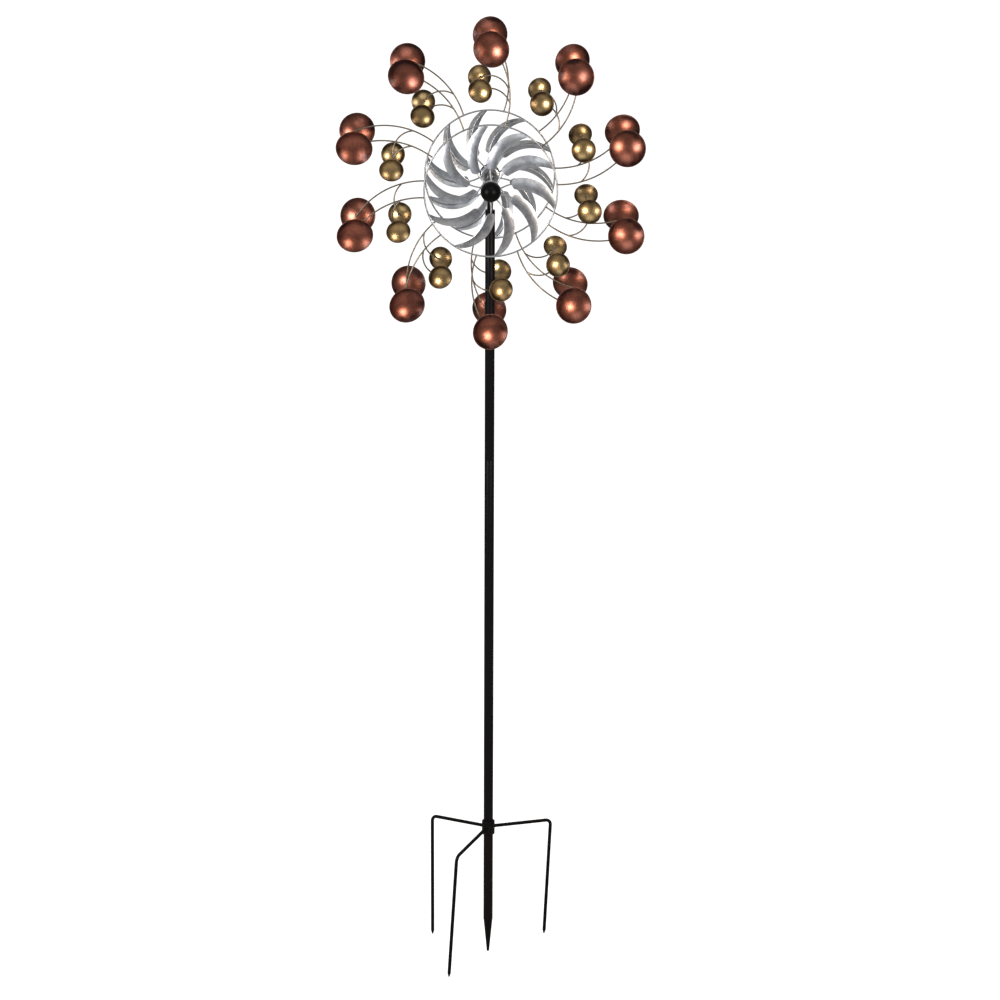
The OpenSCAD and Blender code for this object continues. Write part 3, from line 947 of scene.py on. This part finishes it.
@dataclass
class Blade:
    """A scooped sheet blade on its spoke, in the frame of the spoke's centre.

    Args:
        spoke_r: The radius of the spoke's curve.
        span: The angle of it from the ring to the blade's root, in radians.
        lift: The height of the blade's middle over the spoke.
        axle: Where the rotor's axis is in this frame.
        reach: The distance from that axis at which the tip is cut.
        width: Its width across the widest part.
        tip_width: The width of its tip, seen square to the ring.
        widest: The place of the widest part, as a share of the span.
        pitch: The angle it is pitched at, in radians.
        scoop_r: The radius of the scoop across it.
        gauge: The sheet's thickness.
        along: Number of lengths along it.
        across: Number of widths across it.
    """

    spoke_r: float
    span: float
    lift: float
    axle: Vector
    reach: float
    width: float = 27 * MM
    tip_width: float = 6.4 * MM
    widest: float = 0.64
    pitch: float = math.radians(40)
    scoop_r: float = 34 * MM
    gauge: float = 0.8 * MM
    along: int = 44
    across: int = 12

    @property
    def half(self) -> float:
        """Half the blade's width seen square to the ring."""
        return self.width / 2 * math.cos(self.pitch)

    def radius_at(self, side: float, angle: float) -> float:
        """Distance from the spoke's centre to a line along the blade.

        Args:
            side: From -1 at the inner edge to 1 at the outer edge.
            angle: The angle from the ring, in radians.

        Returns:
            The distance at that angle.
        """
        wide = self.span * self.widest
        away = angle - wide
        edges = []
        for out in EDGES:
            most = self.spoke_r + out * self.half
            tip = self.spoke_r + out * self.tip_width / 2
            shift = (most ** 2 - tip ** 2) / 2 / (most - tip * math.cos(wide))
            root = math.sqrt((most - shift) ** 2 - (shift * math.sin(away)) ** 2)
            edges.append(shift * math.cos(away) + root)
        inner, outer = edges
        return (outer + inner) / 2 + side * (outer - inner) / 2

    def ends(self, side: float) -> tuple[float, float]:
        """The angles at which a line along the blade meets the tip's cut and the round root.

        Each depends on how wide the blade is there, so they are closed in on in rounds.
        """
        distance = math.hypot(self.axle.x, self.axle.y)
        bearing = math.atan2(self.axle.y, self.axle.x)
        middle = self.span - self.half / self.spoke_r
        tip, root = 0.0, self.span
        for _ in range(8):
            tip = bearing - corner_angle(self.radius_at(side, tip), distance, self.reach)
            root = middle + corner_angle(self.radius_at(side, root), self.spoke_r, self.half)
        return tip, root

    def shaped(self, share: float, side: float) -> Vector:
        """The place of a point of the sheet.

        Args:
            share: From 0 at the tip to 1 at the root.
            side: From -1 at the inner edge to 1 at the outer edge.

        Returns:
            The point, in the frame of the spoke's centre.
        """
        tip, root = self.ends(side)
        angle = tip + share * (root - tip)
        radius = self.radius_at(side, angle)
        lean = self.pitch + math.asin((radius - self.spoke_r) / self.scoop_r - math.sin(self.pitch))
        height = self.scoop_r * (math.cos(self.pitch) - math.cos(lean - self.pitch))
        return Vector((radius * math.cos(angle), radius * math.sin(angle), self.lift + height))

    def mesh(self) -> bpy.types.Mesh:
        """The blade's mesh, a shaped sheet given its thickness."""
        bm = bmesh.new()
        bmesh.ops.create_grid(bm, x_segments=self.along, y_segments=self.across, size=0.5)
        for vert in bm.verts:
            vert.co = self.shaped(vert.co.x + 0.5, vert.co.y * 2)
        bmesh.ops.recalc_face_normals(bm, faces=bm.faces)
        bmesh.ops.solidify(bm, geom=bm.faces[:], thickness=self.gauge)
        return mesh_from(bm)

    def edge(self, point: Vector) -> float:
        """How near a point of the blade is to its cut edge."""
        radius = math.hypot(point.x, point.y)
        angle = math.atan2(point.y, point.x)
        near = min(abs(self.radius_at(side, angle) - radius) for side in EDGES)
        return clamped(1 - near / (1.6 * MM))


@dataclass
class Rotor:
    """One rotor: hub and cap, ring, spokes, blades, arms, branches and dishes.

    A reach is from the axle and an offset from the pole's middle. Angles are in degrees,
    anticlockwise from +X seen from the front; a lead goes on from the wire's first angle
    and a lag goes back from it. A sweep is how far a wire's arc turns, in radians. Each
    dish opens along the axle, but for a tilt towards its lean, also in radians.

    Args:
        side: The side of the pole that it is on.
        palette: The finishes.
    """

    side: Side
    palette: Palette
    count: int = 10
    ring_r: float = 126 * MM
    ring_gauge: float = 3.4 * MM
    ring_joint: float = 81.0
    offset: float = 85 * MM
    spoke_gauge: float = 3.2 * MM
    spoke_angle: float = 21.2
    spoke_lead: float = 27.9
    spoke_sweep: float = math.radians(104)
    hub_r: float = 17.55 * MM
    tip_gap: float = 0.6 * MM
    root_gap: float = 25 * MM
    arm_gauge: float = 3.0 * MM
    arm_angle: float = 18.0
    arm_lag: float = 12.2
    arm_sweep: float = math.radians(56.7)
    branch_at: float = 0.29
    branch_sweep: float = math.radians(91.5)
    wire_end: float = 5 * MM
    weld: float = 0.4 * MM
    tilt: float = math.radians(15.5)
    lean: float = math.radians(100)
    large_reach: float = 270 * MM
    large_rim: float = 69.6 * MM
    large_depth: float = 13.3 * MM
    large_offset: float = 97 * MM
    small_reach: float = 191.5 * MM
    small_rim: float = 46.6 * MM
    small_depth: float = 8.9 * MM
    small_offset: float = 85 * MM
    small_lead: float = 6.1

    def __post_init__(self) -> None:
        """Works out the places that the dimensions give."""
        seat = self.arm_gauge / 2 - self.weld
        self.open_way = Vector((
            math.sin(self.tilt) * math.cos(self.lean),
            math.sin(self.tilt) * math.sin(self.lean),
            math.cos(self.tilt),
        ))
        large_back = self.apex(self.large_reach, self.large_offset, self.large_depth + seat)
        small_back = self.apex(self.small_reach, self.small_offset, self.small_depth + seat)
        self.arm = Arc(polar(self.ring_r, -self.arm_lag, self.offset), large_back, self.arm_sweep)
        lead = Matrix.Rotation(math.radians(self.small_lead), 4, "Z")
        self.branch = Arc(self.arm.point(self.branch_at), lead @ small_back, self.branch_sweep)
        self.spoke = Arc(
            Vector((self.ring_r, 0, self.offset)),
            polar(self.hub_r - self.weld, self.spoke_lead, self.offset), self.spoke_sweep)
        self.dish_turn = Matrix.Rotation(self.lean, 4, "Z") @ Matrix.Rotation(self.tilt, 4, "Y")

    def apex(self, reach: float, offset: float, depth: float) -> Vector:
        """The point at a depth behind the middle of a dish's rim.

        Args:
            reach: The distance from the axle to the rim's middle.
            offset: The distance from the pole's middle to it.
            depth: How far behind it the point is.

        Returns:
            The point, for the arm that lies along +X.
        """
        return Vector((reach, 0, offset)) - self.open_way * depth

    def at(self, index: int, first: float) -> Matrix:
        """The matrix from the frame of one arm or spoke to the row frame."""
        turn = math.radians(first + index * 360 / self.count)
        return self.side.place @ Matrix.Rotation(turn, 4, "Z")

    def seed(self, index: int) -> float:
        """A pattern shift that differs for each copy and each rotor."""
        return 0.37 * (index + 1) + (5.3 if self.side is Side.REAR else 0.0)

    def finish(
        self, piece: Workpiece, name: str, material: bpy.types.Material, slot: str,
        node: Optional[str] = None, crease: float = 32.0,
    ) -> None:
        """Names a piece after this side and lets it ride on the rotor.

        Args:
            piece: The piece.
            name: Its name, after the side.
            material: Its finish.
            slot: Not used; it is passed on to the piece, which ignores it.
            node: The CAD node that it stands for, after the side.
            crease: Edges sharper than this many degrees stay sharp.
        """
        nodes = [self.side.node(node)] if node else []
        piece.finish(self.side.node(name), material, slot, self.side.body, nodes, crease)

    def build(self) -> None:
        """Builds and dresses every piece of the rotor."""
        self.build_ring()
        self.build_spokes()
        self.build_blades()
        self.build_arms()
        self.build_dishes(large=True)
        self.build_dishes(large=False)
        self.build_hub()
        self.build_cap()

    def build_ring(self) -> None:
        """The wire ring, with the butt weld where its ends meet."""
        piece = Workpiece()
        plane = self.side.place @ Matrix.Translation((0, 0, self.offset))
        wire = mesh_from(swept_circle(self.ring_r, self.ring_gauge, 16, 180))
        piece.add(wire, plane, self.seed(0))
        joint = Matrix.Translation(polar(self.ring_r, self.ring_joint))
        piece.add(weld_bead(self.ring_gauge * 1.3, 1.0, 3.0), plane @ joint, 1.0)
        self.finish(piece, "ring_wire", self.palette.silver, "silver_wire", "ring")

    def build_spokes(self) -> None:
        """The curved spokes, with their welds at the ring and the hub."""
        piece = Workpiece()
        wire = bent_wire(self.spoke, self.spoke_gauge, 48)
        welds = Workpiece()
        for index in range(self.count):
            place = self.at(index, self.spoke_angle)
            piece.add(wire, place, self.seed(index))
            for share, size in ((0.0, 4.0), (1.0, 5.0)):
                bead = weld_bead(size * MM, 0.8, self.seed(index) + share)
                welds.add(bead, place @ Matrix.Translation(self.spoke.point(share)), self.seed(index))
        self.finish(piece, "spoke_wires", self.palette.silver, "silver_wire", "spokes")
        self.finish(welds, "spoke_welds", self.palette.solder, "silver_wire")

    def build_blades(self) -> None:
        """The blades, each with two spots of solder on its spoke."""
        covered = self.spoke_sweep - self.root_gap / self.spoke.radius
        lift = (self.spoke_gauge + Blade.gauge) / 2 / math.cos(Blade.pitch) - self.weld
        centre = self.spoke.place @ Matrix.Rotation(self.spoke.first_angle, 4, "Z")
        axle = centre.inverted() @ Vector((0, 0, self.offset))
        reach = self.ring_r - self.ring_gauge / 2 - self.tip_gap
        blade = Blade(self.spoke.radius, covered, lift, axle, reach)
        sheet = blade.mesh()
        spots = Workpiece()
        for index in range(self.count):
            place = self.at(index, self.spoke_angle) @ centre
            piece = Workpiece()
            piece.add(sheet, place, self.seed(index), blade.edge)
            node = f"blade_{index + 1}"
            self.finish(piece, f"{node}_sheet", self.palette.blade, "mottled_zinc", node)
            for share in (0.12, 0.97):
                angle = math.degrees(blade.span * share)
                spot = polar(self.spoke.radius, angle, self.spoke_gauge * 0.25)
                bead = weld_bead(3.6 * MM, 0.7, self.seed(index) + share)
                spots.add(bead, place @ Matrix.Translation(spot), self.seed(index))
        self.finish(spots, "blade_solder", self.palette.solder, "silver_wire")

    def build_arms(self) -> None:
        """The arms and branches, with welds at the ring, the forks and the dishes."""
        arms = Workpiece()
        branches = Workpiece()
        welds = Workpiece()
        arm = bent_wire(self.arm, self.arm_gauge, 48, self.wire_end)
        branch = bent_wire(self.branch, self.arm_gauge, 32, self.wire_end)
        beads = (
            (self.arm.point(0.0), 4.2, 0.8), (self.branch.point(0.0), 3.6, 0.8),
            (self.arm.point(1.0), 5.2, 0.55), (self.branch.point(1.0), 4.6, 0.55),
        )
        for index in range(self.count):
            place = self.at(index, self.arm_angle)
            seed = self.seed(index)
            arms.add(arm, place, seed)
            branches.add(branch, place, seed + 0.15)
            for spot, size, flat in beads:
                bead = weld_bead(size * MM, flat, seed + size)
                welds.add(bead, place @ Matrix.Translation(spot), seed)
        self.finish(arms, "arm_wires", self.palette.bronze, "bronze_wire", "arms")
        self.finish(branches, "branch_wires", self.palette.bronze, "bronze_wire", "branches")
        self.finish(welds, "arm_welds", self.palette.scorched, "bronze_wire")

    def build_dishes(self, large: bool) -> None:
        """The ring of large copper dishes, or that of small gold ones."""
        if large:
            dish = Dish(self.large_rim, self.large_depth)
            first = self.arm_angle
            apex = self.apex(self.large_reach, self.large_offset, self.large_depth)
        else:
            dish = Dish(self.small_rim, self.small_depth)
            first = self.arm_angle + self.small_lead
            apex = self.apex(self.small_reach, self.small_offset, self.small_depth)
        shape = dish.mesh()
        piece = Workpiece()
        chance = random.Random(11 if large else 23)
        for index in range(self.count):
            brushed = Matrix.Rotation(chance.uniform(0, TURN), 4, "Z")
            place = self.at(index, first) @ Matrix.Translation(apex) @ self.dish_turn @ brushed
            piece.add(shape, place, self.seed(index), dish.edge)
        if large:
            self.finish(piece, "copper_cups", self.palette.copper, "antique_copper", "large_cups")
        else:
            self.finish(piece, "gold_cups", self.palette.gold, "antique_gold", "small_cups")

    def build_hub(self) -> None:
        """The plated hub, bored for its bearings."""
        low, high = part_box(self.side.node("hub"))
        near, far = sorted((abs(low.y), abs(high.y)))
        rim = (high.x - low.x) / 2
        seat = 11.05 * MM
        lead_in = 0.4 * MM
        chamfer = 1.0 * MM
        outline = [
            (seat, near + lead_in), (seat + lead_in, near), (rim - chamfer, near),
            (rim - chamfer * 0.3, near + chamfer * 0.3), (rim, near + chamfer),
            (rim, far - chamfer), (rim - chamfer, far), (seat, far),
        ]
        piece = Workpiece()
        piece.add(lathe(outline, closed=True), self.side.place, self.seed(0))
        self.finish(piece, "hub_body", self.palette.chrome, "zinc_plate", "hub")

    def build_cap(self) -> None:
        """The domed black cap over the hub's outer end."""
        low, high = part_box(self.side.node("cap"))
        near, far = sorted((abs(low.y), abs(high.y)))
        rim = (high.x - low.x) / 2
        skirt = 6 * MM
        rise = far - near - skirt
        dome = (rim ** 2 + rise ** 2) / 2 / rise
        reach = math.asin(rim / dome)
        wall = 1.1 * MM
        outline = [
            (0.0, near + skirt * 0.5), (rim - wall, near + skirt * 0.5), (rim - wall, near),
            (rim - 0.4 * MM, near), (rim, near + 0.5 * MM), (rim, near + skirt * 0.9),
        ]
        steps = 20
        for i in range(steps + 1):
            turn = reach * 0.985 * (1 - i / steps)
            outline.append((dome * math.sin(turn), far - dome + dome * math.cos(turn)))
        piece = Workpiece()
        piece.add(lathe(outline, steps=96), self.side.place, self.seed(0))
        self.finish(piece, "domed_cap", self.palette.cap, "black_cap", "cap", crease=50)


# ---------------------------------------------------------------- stand


@dataclass
class Stand:
    """The pole, its stake with three prongs, and the head that carries the axle.

    Args:
        palette: The finishes.
        wall: The thickness of the tubes' walls.
        prong_gauge: The diameter of the prongs' rod.
        broken_edge: How far the tubes' outer edges are broken.
    """

    palette: Palette
    wall: float = 1.2 * MM
    prong_gauge: float = 7 * MM
    broken_edge: float = 0.45 * MM

    def build(self) -> None:
        """Builds and dresses every piece of the stand."""
        for node in ("pole_lower", "pole_middle", "pole_upper"):
            self.build_tube(node, self.palette.black)
        self.build_tube("stake_tube", self.palette.stake)
        self.build_point()
        self.build_collar()
        self.dress_the_rest()

    def build_tube(self, node: str, material: bpy.types.Material) -> None:
        """One length of the pole, with its ends broken where tubes meet.

        Args:
            node: The CAD node it stands for.
            material: Its finish.
        """
        low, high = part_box(node)
        outer = (high.x - low.x) / 2
        piece = Workpiece()

        def edge(point: Vector) -> float:
            """How near a point is to either end of the tube."""
            near = min(point.z - low.z, high.z - point.z)
            return max(0.0, 1 - near / (1.2 * MM))

        outline = tube_outline(outer - self.wall, outer, low.z, high.z, self.broken_edge)
        piece.add(lathe(outline, steps=72, closed=True), edge=edge)
        piece.finish(f"{node}_painted", material, "black_paint", STAND, [node], crease=50)

    def build_point(self) -> None:
        """The stake's tapered point, with a rounded end and a dressed shoulder."""
        low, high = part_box("stake_point")
        outer = (high.x - low.x) / 2
        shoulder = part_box("stake_tube")[0].z
        tip = 2.5 * MM
        gap = 0.1 * MM
        plug = outer - 1.4 * MM
        outline = [
            (0.0, low.z), (tip * 0.75, low.z), (tip, low.z + 0.8 * MM),
            (outer - 0.5 * MM, shoulder - 2.2 * MM), (outer - gap, shoulder - 0.9 * MM),
            (outer - gap, shoulder - gap), (plug, shoulder - gap), (plug, high.z), (0.0, high.z),
        ]
        piece = Workpiece()
        piece.add(lathe(outline))
        piece.finish(
            "stake_point_painted", self.palette.stake, "black_paint", STAND, ["stake_point"], crease=40)

    def build_collar(self) -> None:
        """The collar, with a weld bead where it meets the stake tube."""
        low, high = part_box("stake_collar")
        outer = (high.x - low.x) / 2
        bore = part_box("pole_lower")[1].x + 0.1 * MM
        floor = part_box("pole_lower")[0].z
        inner = bore - self.wall
        bevel = 0.9 * MM
        wall = tube_outline(inner, outer, low.z, high.z, bevel)
        outline = wall[:-1] + [(bore, high.z), (bore, floor), (inner, floor)]

        def edge(point: Vector) -> float:
            """Whether a point is on one of the collar's outer edges."""
            at_end = point.z < low.z + bevel or point.z > high.z - bevel
            return float(at_end and math.hypot(point.x, point.y) > outer - bevel * 0.8)

        piece = Workpiece()
        piece.add(lathe(outline, closed=True), edge=edge)
        piece.finish(
            "stake_collar_painted", self.palette.stake, "black_paint", STAND, ["stake_collar"], crease=50)
        welds = Workpiece()
        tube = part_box("stake_tube")[1].x
        below = Matrix.Translation((0, 0, low.z - 0.2 * MM))
        welds.add(fillet_weld(tube + 0.2 * MM, 2.6 * MM, 1.0), below)
        out = Matrix.Translation((outer - 0.3 * MM, 0, (low.z + high.z) / 2))
        for angle in PRONG_ANGLES.values():
            root = Matrix.Rotation(math.radians(angle), 4, "Z") @ out @ Matrix.Rotation(math.pi / 2, 4, "Y")
            welds.add(fillet_weld(self.prong_gauge / 2 + 0.1 * MM, 2.4 * MM, 2.0), root, 0.5)
        welds.finish("stake_welds", self.palette.stake, "black_paint", STAND)

    def dress_the_rest(self) -> None:
        """Dresses the pieces whose CAD shapes are right: the prongs, the head and the steel."""
        for name in PRONG_ANGLES:
            dress(f"prong_{name}", self.palette.stake)
        dress("head_post", self.palette.black)
        for node in (
            "stake_coupler", "lower_coupler", "upper_coupler", "head_screw", "axle", "axle_spacers",
            "bearing_spacers", "axle_washers", "axle_nuts", "inner_races", "bearing_balls",
            "front_outer_races", "rear_outer_races",
        ):
            dress(node, self.palette.steel)
        # The ball cages are near black as painted shade inside the bearings.
        dress("ball_cages", self.palette.cage_shade)


def dress(node: str, material: bpy.types.Material) -> None:
    """Gives a CAD node a finish."""
    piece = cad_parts[node]
    piece.data.materials.clear()
    piece.data.materials.append(material)


# ---------------------------------------------------------------- studio


@dataclass(frozen=True)
class Softbox:
    """A square soft light turned towards a point.

    Args:
        name: The light's name.
        power: Its power in watts.
        colour: Its colour.
        aim: The point it faces.
        azimuth: Its direction from that point, in degrees to the right of the front.
        elevation: Its height above that point, in degrees.
        distance: Its distance from that point.
        size: The length of its side.
    """

    name: str
    power: float
    colour: tuple[float, float, float]
    aim: Vector
    azimuth: float
    elevation: float = 6.5
    distance: float = 2.4
    size: float = 0.95

    def build(self) -> None:
        """Hangs the light."""
        away = direction(math.radians(self.azimuth), math.radians(self.elevation))
        data = bpy.data.lights.new(self.name, "AREA")
        data.shape = "SQUARE"
        data.size = self.size
        data.energy = self.power
        data.color = self.colour
        light = bpy.data.objects.new(self.name, data)
        light.location = self.aim + away * self.distance
        light.rotation_euler = (-away).to_track_quat("-Z", "Y").to_euler()
        bpy.context.scene.collection.objects.link(light)


@dataclass
class Studio:
    """The pale floor, the soft lights and the camera.

    Args:
        eye: Where the camera is.
        pitch: The angle it looks down at, in radians.
        yaw: The angle it is turned to the right.
        roll: The angle it is rolled by.
        focal: The lens's focal length in millimetres.
        floor_size: The length of the floor's side.
        dim: The level of the surrounding light from the front.
        behind: How much brighter it is from behind the object.
        above: How much brighter it is from above.
    """

    eye: Vector = Vector((-0.068, -6.0, 2.4811))
    pitch: float = math.radians(16.474)
    yaw: float = math.radians(0.851)
    roll: float = math.radians(0.23)
    focal: float = 114.28
    floor_size: float = 60.0
    dim: float = 0.11
    behind: float = 0.34
    above: float = 0.1

    def build(self) -> None:
        """Builds the studio round the object."""
        self.build_floor()
        self.build_world()
        rotors = Vector((0, 0, AXLE_Z))
        Softbox("left_softbox", 34, (1.0, 0.975, 0.95), rotors, -47).build()
        Softbox("right_softbox", 32, (1.0, 0.86, 0.74), rotors, 35).build()
        Softbox(
            "top_softbox", 12, (1.0, 1.0, 1.0), Vector((0, 0, 0.7)), 10,
            elevation=62, distance=3.4, size=2.0,
        ).build()
        self.build_camera()

    def build_floor(self) -> None:
        """A plain pale floor under the lowest point of the object."""
        bm = bmesh.new()
        level = Matrix.Translation((0, 0, CAD_BOX[0].z))
        bmesh.ops.create_grid(bm, x_segments=1, y_segments=1, size=self.floor_size / 2, matrix=level)
        mesh = bpy.data.meshes.new("floor")
        bm.to_mesh(mesh)
        bm.free()
        maker = MaterialMaker("pale_floor")
        seen = maker.node("LightPath").outputs["Is Camera Ray"]
        maker.feed_shader(
            Base_Color=GREY, Roughness=0.8, Emission_Color=WHITE, Emission_Strength=seen)
        mesh.materials.append(maker.material)
        floor = bpy.data.objects.new("floor", mesh)
        bpy.context.scene.collection.objects.link(floor)
        floor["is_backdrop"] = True

    def build_world(self) -> None:
        """Soft surrounding light: bright behind the object, dim behind the camera."""
        world = bpy.data.worlds.new("studio")
        world.use_nodes = True
        bpy.context.scene.world = world
        words = Shader(world.node_tree)
        generated = words.node("TexCoord").outputs["Generated"]
        way = words.node("SeparateXYZ", Vector=generated).outputs
        behind = words.times(words.ramp(way["Y"], 0.1, 0.75), self.behind)
        above = words.times(words.ramp(way["Z"], 0.2, 0.9), self.above)
        level = words.plus(words.plus(behind, self.dim), above)
        seen = words.node("LightPath").outputs["Is Camera Ray"]
        background = world.node_tree.nodes["Background"].inputs
        words.feed(background["Strength"], words.math("MAXIMUM", level, seen))
        words.feed(background["Color"], WHITE)

    def build_camera(self) -> None:
        """The camera, a little above the rotors and looking slightly down."""
        data = bpy.data.cameras.new("camera")
        data.lens = self.focal
        data.sensor_width = 36
        data.clip_end = 200
        camera = bpy.data.objects.new("camera", data)
        camera.location = self.eye
        way = -direction(-self.yaw, self.pitch)
        turned = way.to_track_quat("-Z", "Y").to_matrix().to_4x4()
        tilt = Matrix.Rotation(self.roll, 4, "Z")
        camera.matrix_world = Matrix.Translation(self.eye) @ turned @ tilt
        bpy.context.scene.collection.objects.link(camera)
        bpy.context.scene.camera = camera
        bpy.context.scene.view_settings.view_transform = "Standard"


def write_sizes() -> None:
    """Works out the CAD box and the visual model's box, in metres; they are not written anywhere."""
    boxes = {"cad": CAD_BOX, "visual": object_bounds()}
    {name: [list(corner) for corner in box] for name, box in boxes.items()}


def main() -> None:
    """Builds the sculpture and its studio, in order."""
    logging.basicConfig(level=logging.INFO, format="%(message)s")
    palette = Palette()
    Studio().build()
    Stand(palette).build()
    for side in Side:
        Rotor(side, palette).build()
    write_sizes()


if __name__ == "__main__":
    main()
